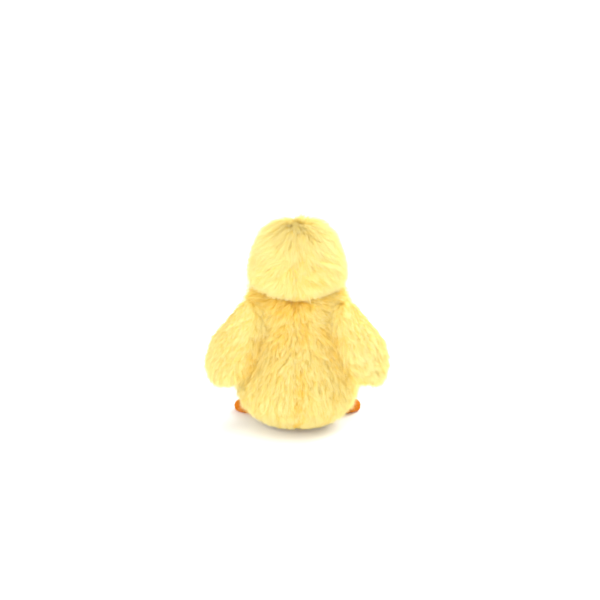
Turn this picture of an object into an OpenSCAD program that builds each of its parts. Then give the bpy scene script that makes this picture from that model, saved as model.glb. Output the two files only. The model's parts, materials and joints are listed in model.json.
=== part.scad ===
// Seated plush chick on a key ring. Millimetres, +Z up, the chick faces -Y.
// The origin is the middle of the flat base that it sits on.
// Soft pieces are sewn panels round a stuffing. A panel is as thick as its backing with the pile pressed
// down on it, so its outer face is where a hand feels the toy begin.

/* [Body] */
// Widest width of the body
body_w = 62.6; // [60:0.2:64]
// Depth of the body, front to back, at the same height
body_d = 59; // [56:0.5:61]
// Height of the widest place above the base
belly_z = 22; // [20:0.5:24]
// Diameter of the flat base
base_w = 24; // [22:1:28]
// Width across the shoulders
shoulder_w = 45; // [43:0.5:46]
// Height of the neck seam
neck_z = 73.5; // [72.5:0.5:74]

/* [Head] */
// Width of the head
head_w = 47.2; // [45:0.2:49]
// How far the back of the head reaches from its middle
head_back = 23.4; // [22:0.2:24.4]
// How far the face reaches from the head's middle
head_front = 22.2; // [21.8:0.2:22.6]
// Height of the head's widest place
head_z = 80.5; // [80:0.5:82]
// Height of the crown
crown_z = 110; // [109:0.5:111]

/* [Wings] */
// Length of a wing
wing_l = 51; // [48:0.5:52]
// Width of a wing
wing_w = 27; // [24:0.5:28]
// Thickness of the wing outside its edge seam
wing_out = 6.5; // [5:0.5:7]
// Thickness of the wing inside its edge seam
wing_in = 4.2; // [3.5:0.1:4.4]
// How far the wing leans out from upright, in degrees
wing_splay = 24; // [21:1:26]
// How far the wing turns round the body towards the back, in degrees
wing_yaw = 44; // [40:1:48]

/* [Feet] */
// Length of a foot
foot_l = 18.5; // [17:0.5:20]
// Width of a foot
foot_w = 14.5; // [13:0.5:16]
// Thickness of a foot
foot_t = 5.8; // [5:0.2:6.4]
// How far each foot points out from straight ahead, in degrees
foot_splay = 58; // [54:1:62]

/* [Face] */
// Diameter of a safety eye
eye_d = 6; // [5:0.5:7]
// How far round from the middle of the face each eye sits, in degrees
eye_turn = 33; // [30:1:36]
// Diameter of the beak at its root
beak_d = 8.4; // [7:0.2:9]
// How far the beak stands out from the face
beak_l = 7; // [5:0.5:9]

/* [Keyring] */
// Width of the ribbon loop
strap_w = 6; // [5:0.5:6.5]
// Outer diameter of the split ring
ring_d = 20; // [19:0.5:21]
// Width of the ring's wire, measured towards the ring's middle
wire_w = 1.8; // [1.4:0.1:2]
// Thickness of one turn of the ring's wire
wire_t = 1.05; // [0.8:0.05:1.1]

/* [Hidden] */

$fn = 64;
gap = 0.3;            // between pieces that move past each other
seam = 0.1;           // between pieces sewn together
pile = 4;             // thickness of a body or head panel
wing_pile = 3;        // thickness of a wing panel
felt = 1.4;           // thickness of the feet's short fabric
yellow = [0.98, 0.88, 0.42];
golden = [0.93, 0.76, 0.34];
orange = [0.93, 0.47, 0.06];
fibre = [0.95, 0.95, 0.93];
steel = [0.75, 0.76, 0.78];
ribbon = [0.96, 0.82, 0.36];

belly_turn = 66;      // half the belly panel's sweep round the body, in degrees
face_turn = 62;       // half the face panel's sweep round the crown seam, in degrees
rows = 13;            // rows of a panel from base to neck, or from crown to neck
step = 9;             // degrees between the columns of a panel

// ---- solids from rows of points ----

function flat(lists) = [for (l = lists) each l];
function back_to_front(list) = [for (i = [len(list) - 1 : -1 : 0]) list[i]];

// The closed solid between two patches of points with the same rows and columns. With a pole, all of
// the first row is one point.
module panel(outer, inner, pole = false) {
  last = len(outer) - 1;
  wide = len(outer[0]);
  function at(side, i, j) = side * (last + 1) * wide + (pole && i == 0 ? 0 : i * wide + j);
  function cell(side, i, j) = [
    if (!(pole && i == 0)) [at(side, i, j), at(side, i, j + 1), at(side, i + 1, j + 1)],
    [at(side, i, j), at(side, i + 1, j + 1), at(side, i + 1, j)]
  ];
  function wall(a, b) = [[at(0, a[0], a[1]), at(1, a[0], a[1]), at(1, b[0], b[1])],
                         [at(0, a[0], a[1]), at(1, b[0], b[1]), at(0, b[0], b[1])]];
  function flip(faces) = [for (f = faces) [f[2], f[1], f[0]]];
  outside = flat([for (i = [0 : last - 1], j = [0 : wide - 2]) cell(0, i, j)]);
  inside = flip(flat([for (i = [0 : last - 1], j = [0 : wide - 2]) cell(1, i, j)]));
  sides = flat([for (i = [0 : last - 1]) concat(flip(wall([i, 0], [i + 1, 0])),
                                                wall([i, wide - 1], [i + 1, wide - 1]))]);
  ends = flat([for (j = [0 : wide - 2]) concat(pole ? [] : wall([0, j], [0, j + 1]),
                                               flip(wall([last, j], [last, j + 1])))]);
  polyhedron(flat(concat(outer, inner)), concat(outside, inside, sides, ends));
}

// The closed solid through a stack of rings, with a point at each end. The rings turn
// anticlockwise as seen from the last one.
module loft(rings, first, end) {
  last = len(rings) - 1;
  n = len(rings[0]);
  function at(i, j) = i * n + j % n;
  a = (last + 1) * n;
  polyhedron(
    concat(flat(rings), [first, end]),
    concat(
      flat([for (i = [0 : last - 1], j = [0 : n - 1])
        [[at(i, j), at(i + 1, j + 1), at(i, j + 1)], [at(i, j), at(i + 1, j), at(i + 1, j + 1)]]]),
      [for (j = [0 : n - 1]) [a, at(0, j), at(0, j + 1)]],
      [for (j = [0 : n - 1]) [a + 1, at(last, j + 1), at(last, j)]]
    ));
}

function middle(ring) = [for (k = [0 : 2]) [for (p = ring) p[k]] * [for (p = ring) 1] / len(ring)];

module left_right(left) {
  if (left) children();
  else mirror([1, 0, 0]) children();
}

// ---- body ----

shoulder_z = neck_z - 4;         // where the shoulder starts to round in to the neck seam
neck_r = shoulder_w / 2 - 2.5;   // radius of the neck seam

// Half width of the body at a height: a bowl below the widest place, a slope up to the shoulders,
// and a rounded edge at the neck.
function bowl(r, foot, z) = r * sqrt(1 - pow((belly_z - z) / belly_z, 2) * (1 - pow(foot / r, 2)));
function slope(r, top, z) = top + (r - top) * (1 + cos(180 * (z - belly_z) / (shoulder_z - belly_z))) / 2;
function body_r(z, t) =
  z <= belly_z ? bowl(body_w / 2 - t, base_w / 2 - t / 4, z) :
  z <= shoulder_z ? slope(body_w / 2 - t, shoulder_w / 2 - t, z) :
  neck_r - t + (shoulder_w / 2 - neck_r) * sqrt(1 - pow((z - shoulder_z) / (neck_z - shoulder_z), 2));

// A ring or arc of the body at a height, t in from its outer face; angles run from the front.
function body_arc(z, t, turns) = [for (a = turns)
  [body_r(z, t) * sin(a), -body_r(z, t) * cos(a) * body_d / body_w, z]];
function body_z(i, low, high) = low + (high - low) * (1 - cos(180 * i / rows)) / 2;
function body_patch(t, low, turns) = [for (i = [0 : rows]) body_arc(body_z(i, low, neck_z - gap), t, turns)];

module body_panel(from, to) {
  turns = [for (k = [0 : step : to - from - step / 2]) from + k, to];
  trimmed = [for (a = turns) a == from ? a + seam : a == to ? a - seam : a];
  flipped = back_to_front(trimmed);
  color(yellow) panel(body_patch(0, seam, flipped), body_patch(pile, pile, flipped));
}

module belly_panel() { body_panel(-belly_turn, belly_turn); }
module back_left_panel() { body_panel(belly_turn, 180); }
module back_right_panel() { body_panel(180, 360 - belly_turn); }

// The base is round, as wide as the body's foot is deep.
module base_panel() {
  color(golden) cylinder(r = body_r(0, 0) * body_d / body_w - 3 * seam, h = pile - seam);
}

plug_r = 11;                     // radius of the firm neck stuffing
plug_low = neck_z - 10;
plug_high = neck_z + 8;

module body_stuffing() {
  turns = [0 : 12 : 359];
  heights = [for (i = [0 : rows]) body_z(i, pile + seam, neck_z - gap)];
  rings = [for (z = heights) body_arc(z, pile + seam, turns)];
  color(fibre) difference() {
    loft(rings, middle(rings[0]), middle(rings[rows]));
    translate([0, 0, plug_low - seam]) cylinder(r = plug_r + seam, h = neck_z);
  }
}

module neck_stuffing() {
  color(fibre) translate([0, 0, plug_low]) cylinder(r = plug_r, h = plug_high - plug_low);
}

// ---- head ----

head_y = -1;                     // the head leans a little forward on the neck
crown_tilt = 40;                 // how far forward of the crown the three panels meet, in degrees
neck_cut = 0.55;                 // where the neck seam cuts a unit sphere
chin_r = 0.8;                    // the neck seam's radius as a share of the head's half width

// A point of the head from a point on a unit sphere, t in from its outer face. Above the middle it
// is an ellipsoid; below, the sides stay full and then tuck in to the neck.
function head_at(p, t) =
  let (low = min(1, max(0, -p[2] / neck_cut)),
       full = p[2] >= 0 ? 1 : (1 - (1 - chin_r) * pow(low, 5)) / norm([p[0], p[1]]),
       depth = p[1] < 0 ? head_front : head_back)
  [p[0] * full * (head_w / 2 - t),
   head_y + p[1] * full * (depth - t),
   p[2] >= 0 ? head_z + p[2] * (crown_z - head_z - t) : head_z - low * (head_z - neck_z)];

// Unit sphere point, seen from the crown seam's meeting point: down along a meridian that leaves it
// at an angle from the middle of the face.
function meridian(down, turn) =
  [sin(down) * sin(turn),
   -cos(down) * sin(crown_tilt) - sin(down) * cos(turn) * cos(crown_tilt),
   cos(down) * cos(crown_tilt) - sin(down) * cos(turn) * sin(crown_tilt)];
// How far down a meridian reaches the neck seam.
function to_neck(turn) =
  let (side = cos(turn) * sin(crown_tilt))
  acos(-neck_cut / norm([cos(crown_tilt), side])) - atan2(side, cos(crown_tilt));
function head_arc(i, t, turns) = [for (a = turns) head_at(meridian(to_neck(a) * i / rows, a), t)];
function head_patch(t, turns) = [for (i = [0 : rows]) head_arc(i, t, turns)];

module head_panel(from, to) {
  turns = [for (k = [0 : step : to - from - step / 2]) from + k, to];
  trimmed = [for (a = turns) a == from ? a + seam : a == to ? a - seam : a];
  color(yellow) panel(head_patch(0, trimmed), head_patch(pile, trimmed), pole = true);
}

module head_left_panel() { head_panel(face_turn, 180); }
module head_right_panel() { head_panel(180, 360 - face_turn); }

module head_stuffing() {
  turns = [0 : 12 : 359];
  rings = [for (i = [rows : -1 : 1]) head_arc(i, pile + 2 * seam, turns)];
  top = head_at(meridian(0, 0), pile + 2 * seam);
  color(fibre) difference() {
    loft(rings, middle(rings[0]), top);
    translate([0, 0, neck_z - 1]) cylinder(r = plug_r + gap, h = plug_high - neck_z + 1 + gap);
    for (left = [true, false]) left_right(left) at_eye() eye_pocket();
    at_beak() translate([0, 0, -pile - 1]) cylinder(d = beak_d + 2 * seam, h = pile);
  }
}

// ---- face ----

eye_up = 8;                      // degrees of the eyes above the head's widest place
beak_up = -13;                   // degrees of the beak above the head's widest place
stem_r = 1.5;
stem_l = 6;
washer_r = 4;
washer_t = 0.8;
washer_sag = 0.8;                // the fabric curves back this far towards the washer's rim
backing = 0.8;                   // thickness of the fabric under the pile

// Places its children on the face, +Z out of the face.
module on_face(turn, up) {
  p = head_at([sin(turn) * cos(up), -cos(turn) * cos(up), sin(up)], 0);
  translate(p) rotate([90 - up / 2, 0, turn]) children();
}
module at_eye() { on_face(eye_turn, eye_up) children(); }
module at_beak() { on_face(0, beak_up) children(); }

module face_panel() {
  difference() {
    head_panel(-face_turn, face_turn);
    for (left = [true, false]) left_right(left) at_eye() {
      translate([0, 0, -pile + backing]) cylinder(d = eye_d + 2 * seam, h = 2 * pile);
      translate([0, 0, -2 * pile]) cylinder(r = stem_r + seam, h = 2 * pile);
    }
    at_beak() translate([0, 0, -2 * pile]) cylinder(d = beak_d + 2 * seam, h = 4 * pile);
  }
}

// Domed head of the eye with its stem, seated on the fabric under the pile.
module eye() {
  dome_h = eye_d * 0.6;
  color("black") rotate_extrude() {
    intersection() {
      translate([0, -pile + backing + seam + dome_h - eye_d / 2]) circle(d = eye_d);
      translate([0, -pile + backing + seam]) square([eye_d, dome_h]);
    }
    translate([0, -pile - stem_l + backing + seam]) square([stem_r, stem_l]);
  }
}
module washer() {
  color("ivory") translate([0, 0, -pile - washer_sag - washer_t - seam]) difference() {
    cylinder(r = washer_r, h = washer_t);
    translate([0, 0, -1]) cylinder(r = stem_r + seam / 2, h = washer_t + 2);
  }
}
// Room in the stuffing for the stem and washer.
module eye_pocket() {
  translate([0, 0, -pile - washer_sag - washer_t - 2 * seam]) cylinder(r = washer_r + seam, h = pile);
  translate([0, 0, -pile - stem_l - seam]) cylinder(r = stem_r + seam, h = stem_l + 1);
}

module left_eye() { at_eye() eye(); }
module right_eye() { left_right(false) at_eye() eye(); }
module left_eye_washer() { at_eye() washer(); }
module right_eye_washer() { left_right(false) at_eye() washer(); }

// Half of the beak: a half-round root in the face, tapering to a rounded tip.
module half_beak(upper) {
  turns = [0 : 15 : 180];
  stations = [for (i = [0 : 7]) i / 8];
  root = -pile + backing;
  function across(s) = beak_d / 2 * (1 - 0.35 * s) * sqrt(1 - pow(s, 3));
  function tall(s) = beak_d / 2 * (upper ? 1 : 0.75) * (1 - 0.45 * s) * sqrt(1 - pow(s, 3));
  function ring(s, z) = [for (a = turns) [across(s) * cos(a), seam + tall(s) * sin(a) * (1 - seam), z]];
  rings = concat([ring(0, root)], [for (s = stations) ring(s, s * beak_l)]);
  color(orange) mirror([0, upper ? 0 : 1, 0])
    loft(rings, middle(rings[0]), [0, seam + 0.6, beak_l]);
}
module upper_beak() { at_beak() half_beak(true); }
module lower_beak() { at_beak() half_beak(false); }

// ---- wings and feet: two domed faces sewn round an outline, over a pad of stuffing ----

dome_rows = 5;
dome_turns = [for (i = [0 : 27]) i * 360 / 28];

// Rings of a dome from its edge to near its top, on an outline that is t in from the edge.
function dome(outline, h, t, lift) = [for (i = [0 : dome_rows - 1])
  let (s = cos(90 * i / dome_rows), up = sin(90 * i / dome_rows))
  [for (p = outline) [p[0] * (1 - t / norm(p)) * s, p[1] * (1 - t / norm(p)) * s, lift + (h - t) * up]]];
function bend(rings, r) = [for (ring = rings) [for (p = ring) [p[0], p[1], p[2] - p[0] * p[0] / (2 * r)]]];

// One face of the pad. curve is the radius that the pad bends to across its width.
module pad_face(outline, h, t, curve) {
  rings = bend(concat(back_to_front(dome(outline, h, t, seam / 2)), dome(outline, h, 0, seam / 2)), curve);
  loft(rings, [0, 0, seam / 2 + h - t], [0, 0, seam / 2 + h]);
}
module pad_stuffing(outline, above, below, t, curve) {
  inset = t + seam;
  function down(rings) = [for (ring = rings) [for (p = ring) [p[0], p[1], -p[2]]]];
  under = dome(outline, below, inset, 0);
  rings = concat(back_to_front(down([for (i = [1 : dome_rows - 1]) under[i]])), dome(outline, above, inset, 0));
  loft(bend(rings, curve), [0, 0, inset - below], [0, 0, above - inset]);
}

wing_curve = 32;
wing_at = [30.9, 12, 50.2];  // middle of the left wing
egg = 0.25;                  // how much narrower the wing is above its middle than below
wing_outline = [for (a = dome_turns) [wing_w / 2 * cos(a) * (1 - egg * sin(a)), wing_l / 2 * sin(a)]];

module on_wing(left) {
  left_right(left) translate(wing_at) rotate([0, -wing_splay, 0]) rotate([0, 0, wing_yaw])
    rotate([90, 0, 90]) children();
}
module wing_outer(left) {
  color(yellow) on_wing(left) pad_face(wing_outline, wing_out, wing_pile, wing_curve);
}
module wing_inner(left) {
  color(yellow) on_wing(left) mirror([0, 0, 1]) pad_face(wing_outline, wing_in, wing_pile, -wing_curve);
}
module wing_stuffing(left) {
  color(fibre) on_wing(left) pad_stuffing(wing_outline, wing_out, wing_in, wing_pile, wing_curve);
}

module left_wing_outer() { wing_outer(true); }
module left_wing_inner() { wing_inner(true); }
module left_wing_stuffing() { wing_stuffing(true); }
module right_wing_outer() { wing_outer(false); }
module right_wing_inner() { wing_inner(false); }
module right_wing_stuffing() { wing_stuffing(false); }

foot_reach = 29.9;               // from the middle of the base to the middle of a foot
foot_sole = 0.35;                // share of the thickness under the edge seam
foot_bend = 1000;                // the feet are flat
// Rounded outline with three shallow toes at the front.
function toes(a) = abs(a - 90) < 60 ? 0.045 * (cos(9 * (a - 90)) - 1) * cos(1.5 * (a - 90)) : 0;
foot_outline = [for (a = dome_turns)
  [foot_w / 2 * cos(a) * (1 + 0.1 * sin(a)), foot_l / 2 * sin(a)] * (1 + toes(a))];

module on_foot(left) {
  left_right(left) rotate([0, 0, foot_splay]) translate([0, -foot_reach, foot_t * foot_sole + seam / 2])
    rotate([0, 0, 180]) children();
}
module foot_top(left) {
  color(orange) on_foot(left) pad_face(foot_outline, foot_t * (1 - foot_sole) - seam, felt, foot_bend);
}
// The sole is a shallow dish pressed flat where it meets the floor.
module foot_under(left) {
  deep = foot_t * foot_sole;
  color(orange) on_foot(left) mirror([0, 0, 1]) {
    rim = [for (p = foot_outline) [p[0], p[1], seam / 2]];
    low = [for (p = foot_outline) [p[0] * 0.82, p[1] * 0.82, deep]];
    inner_low = [for (p = foot_outline) [p[0] * 0.74, p[1] * 0.74, deep - felt]];
    inner_rim = [for (p = foot_outline) [p[0] * (1 - felt / norm(p)), p[1] * (1 - felt / norm(p)), seam / 2]];
    loft([inner_low, inner_rim, rim, low], [0, 0, deep - felt], [0, 0, deep]);
  }
}
module foot_stuffing(left) {
  deep = foot_t * foot_sole - felt - seam;
  inset = felt + seam;
  rim = [for (p = foot_outline) [p[0] * (1 - inset / norm(p)), p[1] * (1 - inset / norm(p)), 0]];
  low = [for (p = foot_outline) [p[0] * 0.72, p[1] * 0.72, -deep]];
  rings = concat([low], [for (ring = dome(foot_outline, foot_t * (1 - foot_sole) - seam, inset, 0)) ring]);
  color(fibre) on_foot(left) loft(rings, [0, 0, -deep], [0, 0, foot_t * (1 - foot_sole) - seam - inset]);
}

module left_foot_top() { foot_top(true); }
module left_foot_sole() { foot_under(true); }
module left_foot_stuffing() { foot_stuffing(true); }
module right_foot_top() { foot_top(false); }
module right_foot_sole() { foot_under(false); }
module right_foot_stuffing() { foot_stuffing(false); }

// ---- keyring: the ribbon loop at the crown seam and the ring in it ----

ribbon_t = 0.8;                  // thickness of the ribbon
loop_r = 2.35;                   // inside radius of the loop's round end
eye_at = 54;                     // degrees forward of the crown where the loop's end lies
loop_lift = loop_r + ribbon_t + gap;
ring_lean = 21;                  // how far the hanging ring leans out at its foot, in degrees
ring_r = (ring_d - wire_w) / 2;  // radius of the wire's middle

function above_head(tilt, lift) =
  [0, head_y - sin(tilt) * (head_front + lift), head_z + cos(tilt) * (crown_z - head_z + lift)];
loop_root = above_head(crown_tilt, gap + ribbon_t);
loop_end = above_head(eye_at, loop_lift);
loop_reach = norm(loop_end - loop_root);
loop_slope = atan2(loop_root[2] - loop_end[2], loop_root[1] - loop_end[1]);

// The ribbon is folded round the ring and its two layers are stitched flat from there to the root.
module strap_loop() {
  outside = loop_r + ribbon_t;
  lean = asin((outside - ribbon_t) / loop_reach);
  side = [outside * sin(lean), outside * cos(lean)];
  end = [loop_reach + ribbon_t * sin(lean), ribbon_t * cos(lean)];
  color(ribbon) translate(loop_end) rotate([loop_slope, 0, 0]) rotate([90, 0, 90])
    translate([0, 0, -strap_w / 2]) difference() {
      union() {
        cylinder(r = outside, h = strap_w);
        linear_extrude(strap_w) polygon([side, [side[0], -side[1]], [end[0], -end[1]], end]);
      }
      translate([0, 0, -1]) cylinder(r = loop_r, h = strap_w + 2);
    }
}

// Two flat turns of wire, one on the other, joined where one crosses to the next.
module split_ring() {
  turn_gap = 0.08;
  color(steel) translate(loop_end) rotate([-ring_lean, 0, 0]) translate([0, 0, -ring_r]) rotate([90, 0, 0]) {
    for (side = [-1, 1]) translate([0, 0, side * (wire_t + turn_gap) / 2 - wire_t / 2]) difference() {
      cylinder(r = ring_r + wire_w / 2, h = wire_t);
      translate([0, 0, -1]) cylinder(r = ring_r - wire_w / 2, h = wire_t + 2);
    }
    rotate([0, 0, -60]) translate([ring_r - wire_w / 2 + 0.2, -1, -wire_t / 2]) cube([wire_w - 0.4, 2, wire_t]);
  }
}

base_panel();
belly_panel();
back_left_panel();
back_right_panel();
body_stuffing();
neck_stuffing();
head_left_panel();
head_right_panel();
face_panel();
head_stuffing();
upper_beak();
lower_beak();
left_eye();
right_eye();
left_eye_washer();
right_eye_washer();
left_wing_outer();
left_wing_inner();
left_wing_stuffing();
right_wing_outer();
right_wing_inner();
right_wing_stuffing();
left_foot_top();
left_foot_sole();
left_foot_stuffing();
right_foot_top();
right_foot_sole();
right_foot_stuffing();
strap_loop();
split_ring();
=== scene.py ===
import json
import math

import bpy
import numpy as np
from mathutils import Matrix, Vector
from mathutils.bvhtree import BVHTree
from mathutils.kdtree import KDTree


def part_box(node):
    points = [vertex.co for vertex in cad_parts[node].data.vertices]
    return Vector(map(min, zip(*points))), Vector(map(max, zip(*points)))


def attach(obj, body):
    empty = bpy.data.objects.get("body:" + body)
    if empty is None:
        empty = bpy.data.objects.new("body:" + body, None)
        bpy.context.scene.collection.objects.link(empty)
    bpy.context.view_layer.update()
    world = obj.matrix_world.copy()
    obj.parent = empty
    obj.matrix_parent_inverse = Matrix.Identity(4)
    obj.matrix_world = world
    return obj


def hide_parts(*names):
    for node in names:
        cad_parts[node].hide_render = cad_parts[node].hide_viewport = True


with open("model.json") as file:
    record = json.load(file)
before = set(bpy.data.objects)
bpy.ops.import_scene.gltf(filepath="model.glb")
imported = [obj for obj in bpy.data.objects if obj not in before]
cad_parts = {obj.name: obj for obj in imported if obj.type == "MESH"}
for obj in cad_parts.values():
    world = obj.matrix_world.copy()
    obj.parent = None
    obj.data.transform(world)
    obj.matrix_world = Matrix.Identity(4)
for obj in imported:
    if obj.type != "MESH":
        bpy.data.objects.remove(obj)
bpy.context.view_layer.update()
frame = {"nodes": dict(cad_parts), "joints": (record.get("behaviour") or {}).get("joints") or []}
MM = 0.001
SIM = 10.0                                    # cloth is simulated at ten times life size
PRESSURE = 3.0                                # the filling's, on every stuffed skin
SIDES = ("left", "right")


# ---------------------------------------------------------------- camera, floor and light

def camera():
    """Straight behind the toy and a little above it."""
    aim = Vector((-1.3, 0, 67.0)) * MM
    up, away = math.radians(20), 1.14
    cam = bpy.data.cameras.new("camera")
    cam.lens, cam.sensor_width = 135, 36
    obj = bpy.data.objects.new("camera", cam)
    bpy.context.scene.collection.objects.link(obj)
    obj.location = aim + Vector((0, math.cos(up), math.sin(up))) * away
    obj.rotation_euler = (aim - obj.location).to_track_quat("-Z", "Y").to_euler()
    bpy.context.scene.camera = obj


def area_light(name, place, size, power):
    lamp = bpy.data.lights.new(name, "AREA")
    lamp.shape, lamp.size, lamp.energy = "DISK", size, power
    obj = bpy.data.objects.new(name, lamp)
    bpy.context.scene.collection.objects.link(obj)
    obj.location = Vector(place)
    obj.rotation_euler = (Vector((0, 0, 0.05)) - obj.location).to_track_quat("-Z", "Y").to_euler()


def sky():
    """White round the sides, greyer overhead, so that the top isn't burnt out."""
    world = bpy.data.worlds.new("studio")
    world.use_nodes = True
    way = world.node_tree.nodes.new("ShaderNodeTexCoord")
    xyz = world.node_tree.nodes.new("ShaderNodeSeparateXYZ")
    world.node_tree.links.new(way.outputs["Generated"], xyz.inputs[0])
    height = world.node_tree.nodes.new("ShaderNodeValToRGB")
    stops = height.color_ramp.elements
    stops[0].position, stops[0].color = 0.35, (1, 1, 1, 1)
    stops[1].position, stops[1].color = 0.85, (0.5, 0.5, 0.51, 1)
    world.node_tree.links.new(xyz.outputs[2], height.inputs[0])
    world.node_tree.links.new(height.outputs[0], world.node_tree.nodes["Background"].inputs["Color"])
    world.node_tree.nodes["Background"].inputs["Strength"].default_value = 1.05
    bpy.context.scene.world = world


def studio():
    sky()
    area_light("top", (0, 0.35, 1.3), 1.0, 7.5)
    area_light("key", (0.7, 0.9, 0.6), 1.0, 9.5)
    area_light("back_fill", (-0.4, 1.1, 0.25), 0.9, 6.2)
    area_light("face_fill", (-0.6, -0.7, 0.6), 0.8, 13.0)
    floor, reach = bpy.data.meshes.new("floor"), 4.0
    corners = [(x * reach, y * reach, 0) for x, y in ((-1, -1), (1, -1), (1, 1), (-1, 1))]
    floor.from_pydata(corners, [], [(0, 1, 2, 3)])
    obj = bpy.data.objects.new("floor", floor)
    bpy.context.scene.collection.objects.link(obj)
    m, b = material("floor_paper")
    b.inputs["Base Color"].default_value = (0.93, 0.93, 0.92, 1)
    b.inputs["Roughness"].default_value = 0.9
    floor.materials.append(m)
    bpy.context.scene.view_settings.view_transform = "Standard"


# ---------------------------------------------------------------- materials

def material(name):
    m = bpy.data.materials.new(name)
    m.use_nodes = True
    return m, m.node_tree.nodes["Principled BSDF"]


def node(m, kind, **values):
    n = m.node_tree.nodes.new(kind)
    for k, v in values.items():
        if hasattr(n, k):
            setattr(n, k, v)
        else:
            n.inputs[k].default_value = v
    return n


def link(m, a, b):
    m.node_tree.links.new(a, b)


def ramp(m, source, *stops):
    n = m.node_tree.nodes.new("ShaderNodeValToRGB")
    e = n.color_ramp.elements
    while len(e) < len(stops):
        e.new(0.5)
    for i, (at, colour) in enumerate(stops):
        e[i].position, e[i].color = at, (*colour, 1)
    link(m, source, n.inputs[0])
    return n.outputs[0]


def pile_material(name, root, middle, tip, deep, pale):
    """Colour from the strand's own UV: v runs from root to tip, u is the tuft's tone with painted shade in
    it.
    """
    m, b = material(name)
    uv = node(m, "ShaderNodeUVMap", uv_map="OFBake")
    xy = node(m, "ShaderNodeSeparateXYZ")
    link(m, uv.outputs[0], xy.inputs[0])
    # The root colour is deeper and more golden than the tip: painted shade of the dimmer light deep in the
    # pile.
    along = ramp(m, xy.outputs[1], (0.0, root), (0.4, middle), (0.85, tip))
    # Tone below 0.55 pulls the colour towards deep: the tufts' own random tone, and painted shade where the
    # callers lower it.
    tone = ramp(m, xy.outputs[0], (0.0, deep), (0.55, (1, 1, 1)), (1.0, pale))
    mix = node(m, "ShaderNodeMix", data_type="RGBA", blend_type="MULTIPLY")
    mix.inputs[0].default_value = 1.0
    link(m, along, mix.inputs[6])
    link(m, tone, mix.inputs[7])
    link(m, mix.outputs[2], b.inputs["Base Color"])
    b.inputs["Roughness"].default_value = 0.62
    b.inputs["Specular IOR Level"].default_value = 0.2
    b.inputs["Sheen Weight"].default_value = 0.25
    b.inputs["Sheen Roughness"].default_value = 0.45
    b.inputs["Sheen Tint"].default_value = (1.0, 0.93, 0.7, 1)
    through = node(m, "ShaderNodeBsdfTranslucent")
    both = node(m, "ShaderNodeMixShader")
    both.inputs[0].default_value = 0.4
    link(m, mix.outputs[2], through.inputs[0])
    link(m, b.outputs[0], both.inputs[1])
    link(m, through.outputs[0], both.inputs[2])
    link(m, both.outputs[0], m.node_tree.nodes["Material Output"].inputs[0])
    return m


def backing_material(name, colour, dark, pitch=0.7):
    """Knitted backing cloth: a fine weave with uneven dye."""
    m, b = material(name)
    co = node(m, "ShaderNodeTexCoord")
    knit = node(m, "ShaderNodeTexVoronoi", Scale=1000 / pitch)
    link(m, co.outputs["Object"], knit.inputs["Vector"])
    dye = node(m, "ShaderNodeTexNoise", Scale=220.0, Detail=3.0)
    link(m, co.outputs["Object"], dye.inputs["Vector"])
    link(m, ramp(m, dye.outputs[0], (0.3, dark), (0.7, colour)), b.inputs["Base Color"])
    bump = node(m, "ShaderNodeBump", Strength=0.5, Distance=0.0001)
    link(m, knit.outputs["Distance"], bump.inputs["Height"])
    link(m, bump.outputs[0], b.inputs["Normal"])
    b.inputs["Roughness"].default_value = 0.9
    b.inputs["Sheen Weight"].default_value = 0.2
    return m


def felt_material(name, colour, dark, light):
    """Short brushed cloth: mottled colour, fine nap bump and a soft sheen."""
    m, b = material(name)
    co = node(m, "ShaderNodeTexCoord")
    mottle = node(m, "ShaderNodeTexNoise", Scale=330.0, Detail=4.0, Roughness=0.6)
    nap = node(m, "ShaderNodeTexNoise", Scale=3200.0, Detail=5.0, Roughness=0.7)
    for n in (mottle, nap):
        link(m, co.outputs["Object"], n.inputs["Vector"])
    link(m, ramp(m, mottle.outputs[0], (0.3, dark), (0.5, colour), (0.72, light)), b.inputs["Base Color"])
    bump = node(m, "ShaderNodeBump", Strength=0.6, Distance=0.00018)
    link(m, nap.outputs[0], bump.inputs["Height"])
    link(m, bump.outputs[0], b.inputs["Normal"])
    b.inputs["Roughness"].default_value = 0.82
    b.inputs["Sheen Weight"].default_value = 0.45
    b.inputs["Sheen Tint"].default_value = (1.0, 0.72, 0.4, 1)
    return m


def gloss_material(name, colour):
    """Moulded gloss plastic with faint flow marks and handling haze."""
    m, b = material(name)
    co = node(m, "ShaderNodeTexCoord")
    haze = node(m, "ShaderNodeTexNoise", Scale=900.0, Detail=4.0)
    link(m, co.outputs["Object"], haze.inputs["Vector"])
    rough = node(m, "ShaderNodeMapRange")
    rough.inputs["To Min"].default_value, rough.inputs["To Max"].default_value = 0.06, 0.16
    link(m, haze.outputs[0], rough.inputs["Value"])
    link(m, rough.outputs[0], b.inputs["Roughness"])
    paler = tuple(c * 1.5 + 0.002 for c in colour)
    link(m, ramp(m, haze.outputs[0], (0.3, colour), (0.8, paler)), b.inputs["Base Color"])
    b.inputs["Specular IOR Level"].default_value = 0.35
    return m


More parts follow.
